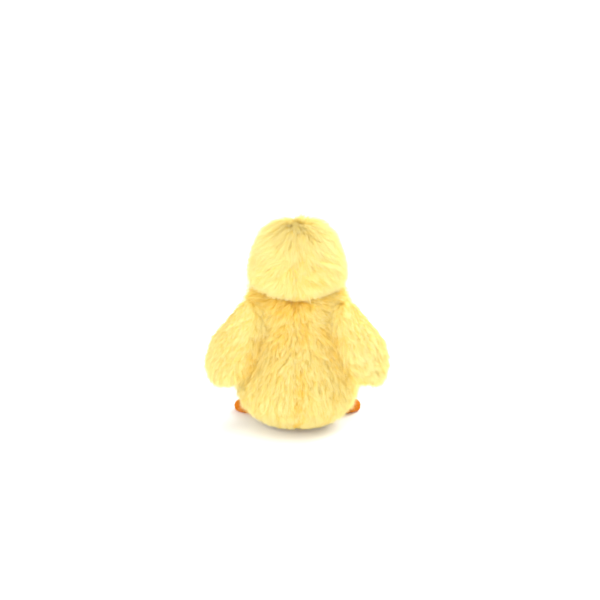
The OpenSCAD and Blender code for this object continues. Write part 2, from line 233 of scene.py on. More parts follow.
def steel_material(name):
    """Nickel-plated wire, with drawing lines and dull rubbed patches."""
    m, b = material(name)
    co = node(m, "ShaderNodeTexCoord")
    rub = node(m, "ShaderNodeTexNoise", Scale=500.0, Detail=5.0, Roughness=0.65)
    line = node(m, "ShaderNodeTexNoise", Scale=2600.0, Detail=2.0)
    for n in (rub, line):
        link(m, co.outputs["Object"], n.inputs["Vector"])
    rough = node(m, "ShaderNodeMapRange")
    rough.inputs["From Min"].default_value, rough.inputs["From Max"].default_value = 0.35, 0.7
    rough.inputs["To Min"].default_value, rough.inputs["To Max"].default_value = 0.14, 0.38
    link(m, rub.outputs[0], rough.inputs["Value"])
    link(m, rough.outputs[0], b.inputs["Roughness"])
    bright, dull = (0.56, 0.55, 0.54), (0.40, 0.38, 0.36)
    link(m, ramp(m, rub.outputs[0], (0.35, bright), (0.7, dull)), b.inputs["Base Color"])
    bump = node(m, "ShaderNodeBump", Strength=0.15, Distance=0.00002)
    link(m, line.outputs[0], bump.inputs["Height"])
    link(m, bump.outputs[0], b.inputs["Normal"])
    b.inputs["Metallic"].default_value = 1.0
    return m


def ribbon_material(name, colour, dark):
    """Woven ribbon: ribs across it, finer threads along it. Needs UVs in millimetres."""
    m, b = material(name)
    uv = node(m, "ShaderNodeUVMap", uv_map="along")
    ribs = node(m, "ShaderNodeTexWave", bands_direction="X", Scale=0.7, Distortion=0.4)
    threads = node(m, "ShaderNodeTexWave", bands_direction="Y", Scale=1.1, Distortion=0.6)
    both = node(m, "ShaderNodeMath", operation="ADD")
    for n, socket in ((ribs, 0), (threads, 1)):
        link(m, uv.outputs[0], n.inputs["Vector"])
        link(m, n.outputs["Fac"], both.inputs[socket])
    half = node(m, "ShaderNodeMath", operation="MULTIPLY")
    half.inputs[1].default_value = 0.5
    link(m, both.outputs[0], half.inputs[0])
    link(m, ramp(m, half.outputs[0], (0.15, dark), (0.75, colour)), b.inputs["Base Color"])
    bump = node(m, "ShaderNodeBump", Strength=0.8, Distance=0.00012)
    link(m, half.outputs[0], bump.inputs["Height"])
    link(m, bump.outputs[0], b.inputs["Normal"])
    b.inputs["Roughness"].default_value = 0.5
    b.inputs["Sheen Weight"].default_value = 0.15
    return m


# ---------------------------------------------------------------- meshes and numbers

def add_mesh(name, co, tris, mats=(), face_mat=None, scale=MM):
    """A mesh object from arrays, in millimetres unless scale says otherwise."""
    me = bpy.data.meshes.new(name)
    co, tris = np.asarray(co, np.float32), np.asarray(tris, np.int32)
    me.vertices.add(len(co))
    me.vertices.foreach_set("co", (co * scale).ravel())
    me.loops.add(tris.size)
    me.loops.foreach_set("vertex_index", tris.ravel())
    me.polygons.add(len(tris))
    me.polygons.foreach_set("loop_start", np.arange(0, tris.size, tris.shape[1], dtype=np.int32))
    me.polygons.foreach_set("use_smooth", np.ones(len(tris), bool))
    for m in mats:
        me.materials.append(m)
    if face_mat is not None:
        me.polygons.foreach_set("material_index", face_mat)
    me.update(calc_edges=True)
    obj = bpy.data.objects.new(name, me)
    bpy.context.scene.collection.objects.link(obj)
    return obj


def arrays(me):
    """Vertices in millimetres and triangles of a mesh."""
    me.calc_loop_triangles()
    co = np.zeros(len(me.vertices) * 3, np.float32)
    me.vertices.foreach_get("co", co)
    tris = np.zeros(len(me.loop_triangles) * 3, np.int32)
    me.loop_triangles.foreach_get("vertices", tris)
    return co.reshape(-1, 3).astype(float) / MM, tris.reshape(-1, 3)


def unit(v):
    return v / np.maximum(np.linalg.norm(v, axis=-1, keepdims=True), 1e-9)


def normals(co, tris):
    n = np.zeros_like(co)
    a, b, c = (co[tris[:, i]] for i in range(3))
    f = np.cross(b - a, c - a)
    for i in range(3):
        np.add.at(n, tris[:, i], f)
    return unit(n)


def tree(*names):
    """A search tree over the surfaces of some CAD nodes, in millimetres."""
    vs, fs = [], []
    for n in names:
        co, tris = arrays(frame["nodes"][n].data)
        fs += (tris + len(vs)).tolist()
        vs += co.tolist()
    return BVHTree.FromPolygons(vs, fs)


def distance(points, bvh, far=50.0):
    found = (bvh.find_nearest(p, far)[3] for p in points.tolist())
    return np.array([far if d is None else d for d in found])


def wander(p, size, rng, waves=7):
    """Smooth noise between about -1 and 1 whose patches are about size across."""
    k = unit(rng.normal(size=(waves, 3))) * (2 * math.pi / size) * rng.uniform(0.6, 1.3, (waves, 1))
    return np.sin(p @ k.T + rng.uniform(0, 6.3, waves)).sum(1) / math.sqrt(waves / 2) * 0.8


# ---------------------------------------------------------------- stuffed skins

def skin_of(source, offset, voxel, relax=8):
    """The closed cloth round a CAD solid: remeshed evenly, relaxed and moved out by offset."""
    obj = bpy.data.objects.new("work", source.data.copy())
    bpy.context.scene.collection.objects.link(obj)
    m = obj.modifiers.new("even", "REMESH")
    m.mode, m.voxel_size = "VOXEL", voxel * MM
    s = obj.modifiers.new("relax", "SMOOTH")
    s.factor, s.iterations = 0.5, relax
    dg = bpy.context.evaluated_depsgraph_get()
    co, tris = arrays(obj.evaluated_get(dg).data)
    bpy.data.objects.remove(obj)
    return co + normals(co, tris) * offset, tris


def puff(co, tris, pins, pressure, cap, frames=20):
    """Cloth filled by pressure while its seams are held. No point moves further than cap."""
    obj = add_mesh("work", co, tris, scale=MM * SIM)
    group = obj.vertex_groups.new(name="seams")
    for level in np.unique(np.round(pins, 1)):
        if level > 0:
            group.add(np.nonzero(np.round(pins, 1) == level)[0].tolist(), float(level), "REPLACE")
    cloth = obj.modifiers.new("cloth", "CLOTH")
    s = cloth.settings
    s.use_pressure, s.uniform_pressure_force = True, pressure
    s.vertex_group_mass, s.pin_stiffness = "seams", 1.0
    s.effector_weights.gravity = 0
    s.quality = 5
    scene = bpy.context.scene
    scene.frame_start, scene.frame_end = 1, frames
    cloth.point_cache.frame_start, cloth.point_cache.frame_end = 1, frames
    for f in range(1, frames + 1):
        scene.frame_set(f)
    dg = bpy.context.evaluated_depsgraph_get()
    after, _ = arrays(obj.evaluated_get(dg).data)
    scene.frame_set(1)
    bpy.data.objects.remove(obj)
    move = after / SIM - co
    size = np.linalg.norm(move, axis=1, keepdims=True)
    return co + move * np.minimum(1, cap / np.maximum(size, 1e-9))


def panel_labels(co, trees):
    """Which panel each point lies under."""
    return np.argmin(np.stack([distance(co, t) for t in trees]), axis=0)


def seam_points(tris, label):
    """Points with a neighbour that lies under another panel."""
    on = np.zeros(len(label), bool)
    for a, b in ((0, 1), (1, 2), (2, 0)):
        i, j = tris[:, a], tris[:, b]
        cross = label[i] != label[j]
        on[i[cross]] = on[j[cross]] = True
    return on


def near_points(co, some):
    """Distance from each point to the nearest of some of them."""
    kd = KDTree(len(some))
    for i, p in enumerate(some.tolist()):
        kd.insert(p, i)
    kd.balance()
    return np.array([kd.find(p)[2] for p in co.tolist()])


class Skin:
    """A filled skin: its points, triangles, normals, each point's panel and its distance to a seam."""

    def __init__(self, co, tris, label=None, away=None):
        self.co, self.tris, self.normal = co, tris, normals(co, tris)
        self.label = np.zeros(len(co), int) if label is None else label
        self.away = np.full(len(co), 99.0) if away is None else away


def stuffed(source, panels, offset, voxel, seam_in, seam_wide, cap, tucks=None):
    """The skin round a CAD solid, its seams pulled in and its panels filled out between them."""
    co, tris = skin_of(frame["nodes"][source], offset, voxel)
    label = panel_labels(co, [tree(p) for p in panels])
    away = near_points(co, co[seam_points(tris, label)])
    pull = np.exp(-(away / seam_wide) ** 2)
    held = away < voxel * 1.2
    if tucks is not None:
        pull = np.maximum(pull, tucks(co))
        held |= tucks(co) > 0.6
    co = co - normals(co, tris) * pull[:, None] * seam_in
    return Skin(puff(co, tris, held.astype(float), PRESSURE, cap), tris, label, away)


# ---------------------------------------------------------------- pile

DROOP = 0.32                                  # how far a strand's tip sinks, of its length


class Tufts:
    """Where a panel's strands stand, in millimetres."""

    def __init__(self, skin, panel, count, seed):
        self.rng = np.random.default_rng(seed)
        tris = skin.tris[skin.label[skin.tris[:, 0]] == panel]
        a, b, c = (skin.co[tris[:, i]] for i in range(3))
        area = np.linalg.norm(np.cross(b - a, c - a), axis=1)
        self.area = area.sum()
        self.tri = tris[self.rng.choice(len(tris), count, p=area / area.sum())]
        self.share = self.rng.dirichlet((1, 1, 1), count)
        self.root, self.normal = self.at(skin.co), unit(self.at(skin.normal))

    def at(self, values):
        """What each strand gets of a value that is known at the skin's points."""
        w = self.share if values.ndim == 1 else self.share[:, :, None]
        return (values[self.tri] * w).sum(1)

    def keep(self, mask):
        self.area *= mask.mean()
        self.tri, self.share = self.tri[mask], self.share[mask]
        self.root, self.normal = self.root[mask], self.normal[mask]

    def gather(self, spacing):
        """Groups the strands into tufts about spacing apart and gives each one its tuft's middle."""
        some = self.root[self.rng.permutation(len(self.root))[:max(8, int(self.area / spacing ** 2))]]
        kd = KDTree(len(some))
        for i, p in enumerate(some.tolist()):
            kd.insert(p, i)
        kd.balance()
        self.tuft = np.array([kd.find(p)[1] for p in self.root.tolist()])
        self.centre, self.tufts = some[self.tuft], len(some)


def strands(name, t, comb, length, lift, lean, pull, crimp, width, segments, mat, tone, floor):
    """Tapered flat strands as one mesh. Each bends over along comb, and towards its tuft's middle.

    Its UVs hold the tuft's tone, with the painted shade added into it, and the way from root to tip, which
    the pile materials read."""
    n = len(t.root)
    flat = unit(comb - t.normal * (comb * t.normal).sum(1, keepdims=True))
    s = np.linspace(0, 1, segments + 1)[None, :, None]
    up, along = lift[:, None, None], lean[:, None, None]
    rise, reach = up * s - DROOP * s * s, along * (0.3 * s + 0.7 * s * s)
    p = t.root[:, None] + length[:, None, None] * (t.normal[:, None] * rise + flat[:, None] * reach)
    p += pull * s * s * (t.centre - t.root)[:, None]
    p += crimp[:, None] * np.sin(math.pi * 1.5 * s)
    p[..., 2] = np.maximum(p[..., 2], floor + (p[..., 2] - floor) * 0.02)
    way = unit(np.gradient(p, axis=1))
    side = unit(np.cross(way, t.normal[:, None] + flat[:, None] * 0.01))
    turn = t.rng.normal(0, 0.7, (n, 1, 1))
    side = side * np.cos(turn) + np.cross(way, side) * np.sin(turn)
    edge = side[:, :-1] * width * np.sqrt(1 - s[:, :-1])
    pairs = np.stack([p[:, :-1] - edge, p[:, :-1] + edge], 2).reshape(n, segments * 2, 3)
    co = np.concatenate([pairs, p[:, -1:]], 1).reshape(-1, 3)
    one = []
    for j in range(0, segments * 2 - 2, 2):
        one += [(j, j + 1, j + 3), (j, j + 3, j + 2)]
    one = np.array(one + [(segments * 2 - 2, segments * 2 - 1, segments * 2)])
    tris = (one[None] + np.arange(n)[:, None, None] * (segments * 2 + 1)).reshape(-1, 3)
    obj = add_mesh(name, co, tris, [mat])
    v = np.append(np.repeat(np.arange(segments) / segments, 2), 1.0)
    uv = np.empty((n, len(one) * 3, 2), np.float32)
    uv[:, :, 0] = np.clip(tone, 0.01, 0.99)[:, None]
    uv[:, :, 1] = v[one.ravel()][None]
    obj.data.uv_layers.new(name="OFBake").data.foreach_set("uv", uv.ravel())
    return obj


def grow(name, t, comb, length, mat, tuft, pull, rough, width, segments, lift=0.95, lean=0.75, shade=0.0,
         floor=0.35):
    """Strands that stand in tufts, each tuft with its own lean, length and tone."""
    t.gather(tuft)
    n = len(t.root)
    per = t.rng.normal(size=(t.tufts, 4)).clip(-2, 2)[t.tuft]
    own = t.rng.normal(size=(n, 3)).clip(-2, 2)
    side = unit(np.cross(t.normal, comb))
    comb = unit(comb) + side * (per[:, :1] * rough * 2 + own[:, :1] * rough) + own * 0.05
    length = length * (1 + 0.11 * per[:, 1] + 0.1 * own[:, 1]).clip(0.55, 1.4)
    lift = np.clip(lift * (1 + 0.1 * per[:, 2] + 0.07 * own[:, 2]), 0.25, 1.25)
    lean = lean * (1 - 0.1 * per[:, 2])
    tone = 0.55 + 0.12 * per[:, 3] + 0.06 * own[:, 0] + shade
    crimp = 0.05 * length[:, None] * (t.rng.normal(size=(t.tufts, 3))[t.tuft] * 0.8 + own * 0.5)
    return strands(name, t, comb, length, lift, lean, pull, crimp, width, segments, mat, tone, floor)


camera()
studio()

# ---------------------------------------------------------------- materials in use

# In each pile below, the root colour is deeper than the tip: painted shade deep in the pile. The fourth
# colour, deep, is what low tone, partly painted shade, pulls towards.
pile = pile_material("yellow_pile", (0.96, 0.73, 0.11), (0.95, 0.82, 0.28), (0.94, 0.87, 0.48),
                     (1.0, 0.85, 0.35), (1.0, 1.0, 1.0))
under = pile_material("yellow_under", (0.96, 0.73, 0.11), (0.96, 0.81, 0.22), (0.95, 0.85, 0.38),
                      (1.0, 0.85, 0.35), (1.0, 1.0, 1.0))
low = pile_material("base_pile", (0.86, 0.58, 0.08), (0.87, 0.68, 0.17), (0.88, 0.74, 0.27),
                    (0.97, 0.82, 0.45), (1.0, 1.0, 1.0))
backing = backing_material("backing", (0.96, 0.74, 0.14), (0.92, 0.66, 0.10))
felt = felt_material("orange_felt", (0.80, 0.31, 0.010), (0.74, 0.23, 0.008), (0.84, 0.38, 0.015))
nap = pile_material("orange_nap", (0.74, 0.23, 0.006), (0.80, 0.31, 0.01), (0.84, 0.39, 0.02),
                    (0.95, 0.85, 0.7), (1.0, 1.0, 1.0))
black = gloss_material("eye_black", (0.006, 0.005, 0.005))
white = gloss_material("washer_white", (0.7, 0.69, 0.64))
steel = steel_material("ring_steel")
thread = felt_material("thread", (0.93, 0.72, 0.26), (0.88, 0.62, 0.18), (0.97, 0.80, 0.36))
fibre = backing_material("fibre", (0.85, 0.85, 0.82), (0.75, 0.75, 0.72), 0.4)
ribbon = ribbon_material("ribbon", (0.86, 0.56, 0.12), (0.66, 0.36, 0.05))


# ---------------------------------------------------------------- the stuffed bodies

def eye_axis(side):
    """A washer's middle, the way its eye looks out, and both pieces' points from that middle."""
    eye, _ = arrays(frame["nodes"][f"{side}_eye"].data)
    washer, _ = arrays(frame["nodes"][f"{side}_eye_washer"].data)
    mid = (washer.max(0) + washer.min(0)) / 2
    span = eye - mid
    out = unit(np.array((mid[0], mid[1] - 6, mid[2] - 80)))
    return mid, unit(eye[np.argmax(span @ out)] - mid), span, washer - mid


def cover_washer(skin, side):
    """Lifts the skin over an eye's washer, which sits just behind the cloth."""
    mid, way, _, washer = eye_axis(side)
    height, front = (skin.co - mid) @ way, (washer @ way).max()
    radius = np.linalg.norm(skin.co - mid - height[:, None] * way, axis=1)
    edge = np.linalg.norm(washer - (washer @ way)[:, None] * way, axis=1).max()
    over = np.clip((edge + 3.5 - radius) / 2.5, 0, 1) * (height > -4)
    skin.co = skin.co + way * (over * np.maximum(0, front + 0.35 - height))[:, None]
    skin.normal = normals(skin.co, skin.tris)


def toe_tucks(side):
    """Two short tucks on top of the foot, back from its front edge."""
    lo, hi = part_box(f"{side}_foot_top")
    mid = (np.array(lo) + np.array(hi)) / 2 / MM
    ahead = unit(np.array((mid[0], mid[1], 0)))
    across = np.array((-ahead[1], ahead[0], 0))

    def tucks(co):
        a, b = (co - mid) @ ahead, (co - mid) @ across
        line = np.exp(-((np.abs(b) - 2.6 - 0.06 * (a - 8)) / 0.7) ** 2)
        return line * np.clip((a - 2.5) / 2, 0, 1) * (co[:, 2] > mid[2] - 1.5)
    return tucks


def taper_heel(foot, reach=3.2):
    """Draws a foot's heel in under the belly."""
    mid = (foot.co.max(0) + foot.co.min(0)) / 2
    ahead = unit(np.array((mid[0], mid[1], 0)))
    behind = np.clip(-((foot.co - mid) @ ahead) / 9, 0, 1) ** 2
    foot.co = foot.co - ahead * reach * behind[:, None]
    foot.normal = normals(foot.co, foot.tris)


def place(obj, body, slot, nodes=(), fill=None):
    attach(obj, body)
    if nodes:
        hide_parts(*nodes)
    return obj


torso = stuffed("body_stuffing", ["back_left_panel", "back_right_panel", "belly_panel", "base_panel"],
                offset=0.3, voxel=1.7, seam_in=0.5, seam_wide=2.0, cap=1.1)
head = stuffed("head_stuffing", ["head_left_panel", "head_right_panel", "face_panel"],
               offset=0.3, voxel=1.4, seam_in=0.3, seam_wide=1.8, cap=1.0)
BASE, FACE = 3, 2                             # their places in those two lists of panels
wings = {s: stuffed(f"{s}_wing_stuffing", [f"{s}_wing_outer", f"{s}_wing_inner"],
                    offset=0.3, voxel=1.0, seam_in=0.3, seam_wide=1.2, cap=0.8) for s in SIDES}
feet = {s: stuffed(f"{s}_foot_stuffing", [f"{s}_foot_top", f"{s}_foot_sole"],
                   offset=1.0, voxel=0.55, seam_in=0.6, seam_wide=0.8, cap=0.5, tucks=toe_tucks(s))
        for s in SIDES}
for s in SIDES:
    cover_washer(head, s)
    taper_heel(feet[s])

for name, skin, body, nodes, fill in (
        ("torso_skin", torso, "torso", ["body_stuffing", "neck_stuffing"], 0.75),
        ("head_skin", head, "head", ["head_stuffing"], 0.85),
        ("left_wing_skin", wings["left"], "left_wing", ["left_wing_stuffing"], 0.5),
        ("right_wing_skin", wings["right"], "right_wing", ["right_wing_stuffing"], 0.5)):
    place(add_mesh(name, skin.co, skin.tris, [backing]), body, "yellow_pile", nodes, fill)
for s in SIDES:
    obj = add_mesh(f"{s}_foot_pad", feet[s].co, feet[s].tris, [felt])
    place(obj, f"{s}_foot", "orange_felt", [f"{s}_foot_top", f"{s}_foot_sole", f"{s}_foot_stuffing"], 0.7)


# ---------------------------------------------------------------- places that the pile depends on

loop_end, loop_root = (np.array(next(j["pos_m"] for j in frame["joints"] if j["name"] == name)) / MM
                       for name in ("ring_swing", "strap_flop"))
eyes = [sum(np.array(v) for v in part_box(f"{s}_eye")) / 2 / MM for s in SIDES]
beak_low, beak_high = np.array(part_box("lower_beak")[0]) / MM, np.array(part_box("upper_beak")[1]) / MM
beak = np.array((0, beak_high[1], (beak_low[2] + beak_high[2]) / 2))
neck_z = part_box("head_stuffing")[0].z / MM
ring_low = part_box("split_ring")[0].z / MM
wing_trees = [tree(f"{s}_wing_outer", f"{s}_wing_inner") for s in SIDES]
foot_trees = [tree(f"{s}_foot_top") for s in SIDES]
torso_tree = tree("belly_panel", "back_left_panel", "back_right_panel")


def rises(d, near, far):
    """0 where d is near or less, 1 where it is far or more."""
    return np.clip((d - near) / (far - near), 0, 1)


def fades(d, near, far, least):
    """least where d is near or less, 1 where it is far or more."""
    return least + (1 - least) * rises(d, near, far)


def hump(d, width):
    """1 where d is 0, falling away to nothing at about twice the width."""
    return np.exp(-(d / width) ** 2)


def apart(p, point):
    return np.linalg.norm(p - point, axis=1)


def neighbour_gap(skin, trees):
    """How far a neighbour's surface is from the middle of the pile."""
    tip = skin.co + skin.normal * 4.0
    return np.min(np.stack([distance(tip, b, 12.0) for b in trees]), axis=0)


# ---------------------------------------------------------------- combing and tone

def comb_torso(skin):
    """Down the body, outward over the shoulders, and out from the middle under the base."""
    p, rng = skin.co, np.random.default_rng(5)
    shoulder = rises(p[:, 2], 48, 60) * np.tanh(p[:, 0] / 9)
    d = np.stack([p[:, 0] * 0.010 + 1.5 * shoulder, p[:, 1] * 0.010, np.full(len(p), -1.0)], 1)
    d[:, 0] += 0.22 * wander(p, 16, rng)
    d[:, 1] += 0.15 * wander(p, 16, rng)
    flat = skin.label == BASE
    d[flat] = np.stack([p[flat, 0], p[flat, 1], 0 * p[flat, 0]], 1) + 0.01
    return d


def comb_head(skin):
    """Out and down from the ribbon's root, straight back over the crown and down the sides."""
    p, rng = skin.co, np.random.default_rng(6)
    x, y, z = p.T
    low = rises(-z, -97, -77)
    back = np.tanh((y - loop_root[1]) / 5)
    middle = hump(x, 7)
    d = np.stack([np.tanh(x / 7) * (1.1 - 0.35 * low), (0.1 + 0.9 * middle) * back * (1 - low),
                  -0.16 - 0.5 * low - 0.4 * middle - 0.8 * skin.normal[:, 0] ** 4], 1)
    d[:, 0] += 0.2 * wander(p, 12, rng) + 0.5 * middle * wander(p, 5, rng)
    d[:, 2] += 0.2 * wander(p, 12, rng)
    return d


def comb_wing(skin, out, inward):
    """Down and outward, but in over the body where inward is 1."""
    p, rng = skin.co, np.random.default_rng(7)
    d = np.stack([out * (0.6 - 1.2 * inward), 0.15 + 0.45 * inward, np.full(len(p), -0.85)], 1)
    d[:, 0] += 0.25 * wander(p, 11, rng)
    d[:, 2] += 0.25 * wander(p, 11, rng)
    return d


def patches(skin, seed, seam):
    """Tone: slow drifts over the pile, and painted shade, deeper in places, in the pulled-in grooves along
    the seams.
    """
    rng = np.random.default_rng(seed)
    drift = 0.07 * wander(skin.co, 14, rng) + 0.05 * wander(skin.co, 6, rng)
    spots = np.clip(0.3 + 1.2 * wander(skin.co, 9, rng), 0, 1)
    # The seam term lowers the tone: painted shade in the seam grooves.
    return drift - seam * hump(skin.away, 2.2) * spots


# ---------------------------------------------------------------- pile on the bodies

BODY_PILE, BASE_PILE, HEAD_PILE = 7.2, 4.0, 9.0
WING_PILE = {"outer": 7.2, "inner": 5.2}


def furred(name, skin, panel, count, seed, comb, length, mat, body, factor, shade, lift, lean, mask=None,
           node=None, slot="yellow_pile", **tufts):
    """A panel's pile: long strands, and a shorter denser layer between them."""
    factor, shade, lift, lean = (v + np.zeros(len(skin.co)) for v in (factor, shade, lift, lean))
    for part, many, share, width, segments, m in (("pile", count, 1.0, 0.062, 3, mat),
                                                  ("under", count * 3, 0.76, 0.08, 1, under)):
        t = Tufts(skin, panel, many, seed + segments)
        if mask is not None:
            t.keep(mask(t.root))
        obj = grow(f"{name}_{part}", t, t.at(comb), length * share * t.at(factor), m, width=width,
                   segments=segments, shade=t.at(shade), lift=t.at(lift), lean=t.at(lean), **tufts)
        place(obj, body, slot, [node or f"{name}_panel"] if part == "pile" else ())


def torso_mask(p):
    """Leaves the neck bare, where the head sits on it."""
    return (p[:, 2] < neck_z - 1.5) | (np.hypot(p[:, 0], p[:, 1]) > 16)


def torso_pile():
    """Pressed beside the wings, fuller in the valleys behind them, and spread over the feet; its tone is
    lowered as painted shade in the creases.
    """
    x, y, z = torso.co.T
    gap = neighbour_gap(torso, wing_trees)
    above = rises(z, 50, 56)
    shoulder = above * rises(np.abs(x), 12, 18)
    valley = (1 - rises(gap, 1.0, 7.0)) * rises(y, -2, 3) * rises(z, 25, 40)
    over_feet = (1 - rises(neighbour_gap(torso, foot_trees), 1.0, 6.0)) * rises(-y, 2, 8)
    collar = hump(z - neck_z, 5)
    comb = comb_torso(torso)
    comb[:, :2] += over_feet[:, None] * unit(torso.co[:, :2]) * 1.2
    factor = fades(torso.away, 0, 2.0, 0.88) * fades(z, 0, 15, 0.33)
    factor *= np.maximum(fades(gap, 0, 3.0, 0.85), above) * (1 + 0.3 * shoulder) * (1 + 0.35 * valley)
    factor += 0.9 * over_feet
    lift = 0.92 * fades(z, 0, 22, 0.45) + 0.2 * valley + 0.25 * shoulder + 0.12 * collar
    # Painted shade: the tone is lowered beside the wings below the shoulders and at the collar, in the
    # creases by the wings and under the head, and along the bottom, near the floor. It is also a little
    # deeper on the upper back.
    shade = patches(torso, 3, 0.5) - 0.45 * (1 - rises(gap, 0.5, 4.5)) * (1 - above)
    shade -= 0.3 * collar + 0.4 * hump(z, 5) + 0.16 * hump(z - 60, 14)
    for i, name in enumerate(("back_left", "back_right", "belly", "base")):
        count, length, mat, slot = 38000, BODY_PILE, pile, "yellow_pile"
        if i == BASE:
            count, length, mat, slot = 9000, BASE_PILE, low, "base_pile"
        furred(name, torso, i, count, 11 + i * 7, comb, length, mat, "torso", factor, shade, lift, lean=0.7,
               mask=torso_mask, slot=slot, tuft=1.5, pull=0.3, rough=0.17)


def head_mask(p):
    """Leaves bare the neck, and rounds for the eyes, the beak and the ribbon's root."""
    ok = (p[:, 2] > neck_z + 1.2) | (np.hypot(p[:, 0], p[:, 1]) > 15)
    for e in eyes:
        ok &= (apart(p[:, ::2], e[::2]) > 3.1) | (p[:, 1] > -5)
    return ok & (apart(p, beak) > 4.4) & (apart(p, loop_root) > 3.2)


def head_pile():
    """Short round the eyes and beak, under the ring and at the neck, and laid flat behind the crown; painted
    shade deepens its tone at the neck and painted light lifts it behind the crown.
    """
    x, y, z = head.co.T
    lies = hump(x, 9) * rises(y, -10, -4) * rises(z, 84, 94)
    under_ring = (np.abs(x) < 11) & (y < -12) & (z > ring_low - 1)
    crown = rises(z, 99, 104)
    factor = fades(head.away, 0, 2.0, 0.95) * fades(apart(head.co, beak), 4.5, 8.0, 0.5)
    for e in eyes:
        factor *= fades(apart(head.co, e), 3.0, 8.0, 0.45)
    factor *= np.where(under_ring, 0.6, 1.0) * np.where(head.label == FACE, 0.8, 1.0)
    factor *= fades(z - neck_z, 1.0, 11.0, 0.3) * (1 + (0.32 - 0.4 * hump(x, 3)) * crown)
    lift = 0.84 + 0.06 * rises(z, 94, 102) - 0.42 * lies
    # Painted shade: the tone is lowered just above the neck, in the crease under the head, and along the
    # seams through patches. Painted light: it is raised where the pile lies flat behind the crown, against
    # the dark there.
    shade = patches(head, 4, 0.2) - 0.35 * hump(z - neck_z, 2.5) + 0.25 * lies
    comb = comb_head(head)
    for i, name in enumerate(("head_left", "head_right", "face")):
        furred(name, head, i, 38000, 71 + i * 7, comb, HEAD_PILE, pile, "head", factor, shade, lift,
               lean=0.85 + 0.2 * lies, mask=head_mask, tuft=1.0, pull=0.22, rough=0.1)


def wing_pile(side, out, k):
    """Fuller on the edge by the body, shorter and flatter along the top, with painted shade in the crease by
    the body.
    """
    skin = wings[side]
    z = skin.co[:, 2]
    gap = neighbour_gap(skin, [torso_tree])
    inward = (1 - rises(gap, 0, 7)) * rises(skin.co[:, 1], 2, 7)
    near_top = (1 - rises(z.max() - z, 0, 20)) * np.clip(skin.normal @ np.array((0.8 * out, 0, 0.8)), 0, 1)
    comb = comb_wing(skin, out, inward)
    # Painted shade: the tone is lowered where the wing lies close to the body below its top, in the crease
    # between them.
    shade = patches(skin, 8 + k, 0) - 0.45 * (1 - rises(gap, 0.5, 4.5)) * rises(-z, -62, -52)
    factor = (1 + 0.5 * inward) * (1 - 0.5 * near_top)
    for i, face in enumerate(("outer", "inner")):
        name = f"{side}_wing_{face}"
        furred(name, skin, i, 26000, 131 + 10 * k + i, comb, WING_PILE[face], pile, f"{side}_wing", factor,
               shade, lift=0.78 - 0.5 * near_top, lean=0.85, node=name, tuft=1.2, pull=0.3, rough=0.13)


torso_pile()
head_pile()
wing_pile("left", 1, 0)
wing_pile("right", -1, 1)


# ---------------------------------------------------------------- beak, feet's nap, eyes

BEAK_ROOT = -21.5                             # the beak is sewn to the face behind this y


def padded_beak(part):
    co, tris = skin_of(frame["nodes"][f"{part}_beak"], 0.05, 0.45, relax=6)
    held = co[:, 1] > BEAK_ROOT
    co = puff(co, tris, held.astype(float), 2.0, cap=0.35)
    obj = add_mesh(f"{part}_beak_pad", co, tris, [felt])
    place(obj, "head", "orange_felt", [f"{part}_beak"], 0.85)
    t = Tufts(Skin(co, tris), 0, 9000, 211)
    t.keep(t.root[:, 1] < BEAK_ROOT + 0.5)
    comb = np.tile((0.0, -0.6, -0.8), (len(t.root), 1))
    fuzz = grow(f"{part}_beak_nap", t, comb, 0.7, nap, tuft=0.5, width=0.03, segments=1, rough=0.3, pull=0.3)
    place(fuzz, "head", "orange_felt")


def foot_nap(side, seed):
    t = Tufts(Skin(feet[side].co, feet[side].tris), 0, 24000, seed)
    t.keep(t.root[:, 2] > 0.6)
    comb = t.root - t.root.mean(0) + np.array((0, 0, -0.5))
    fuzz = grow(f"{side}_foot_nap", t, comb, 0.9, nap, tuft=0.6, width=0.035, segments=1, rough=0.3,
                pull=0.3, floor=0.1)
    place(fuzz, f"{side}_foot", "orange_felt")


def lathe(name, profile, base, axis, mats, turns=56):
    """A turned piece. The profile is (radius, height) pairs along axis from base."""
    axis = Vector(axis).normalized()
    a = axis.orthogonal().normalized()
    b = axis.cross(a)
    co, tris = [], []
    for r, h in profile:
        for i in range(turns):
            w = 2 * math.pi * i / turns
            co.append(Vector(base) + axis * h + (a * math.cos(w) + b * math.sin(w)) * r)
    for j in range(len(profile) - 1):
        for i in range(turns):
            p, q = j * turns + i, j * turns + (i + 1) % turns
            tris += [(p, q, q + turns), (p, q + turns, p + turns)]
    return add_mesh(name, [list(c) for c in co], tris, mats)


def eye_dome(side):
    """A safety eye: a stem, a rolled rim and a dome."""
    stem, rim, dome = 1.5, 3.1, 3.0           # radii
    mid, way, span, _ = eye_axis(side)
    top, foot = (span @ way).max(), (span @ way).min()
    edge = top - 3.4                          # height of the rim
    shoulder = edge + 0.25
    profile = [(0.01, foot), (stem, foot), (stem, edge - 0.5), (2.7, edge - 0.5), (3.05, edge - 0.3),
               (rim, edge), (dome, shoulder)]
    profile += [(dome * math.cos(u), shoulder + (top - shoulder) * math.sin(u))
                for u in np.linspace(0.06, math.pi / 2, 16)]
    place(lathe(f"{side}_eye_dome", profile, mid, way, [black]), "head", "eye_black", [f"{side}_eye"])


padded_beak("upper")
padded_beak("lower")
foot_nap("left", 231)
foot_nap("right", 232)
eye_dome("left")
eye_dome("right")


# ---------------------------------------------------------------- ribbon loop and split ring

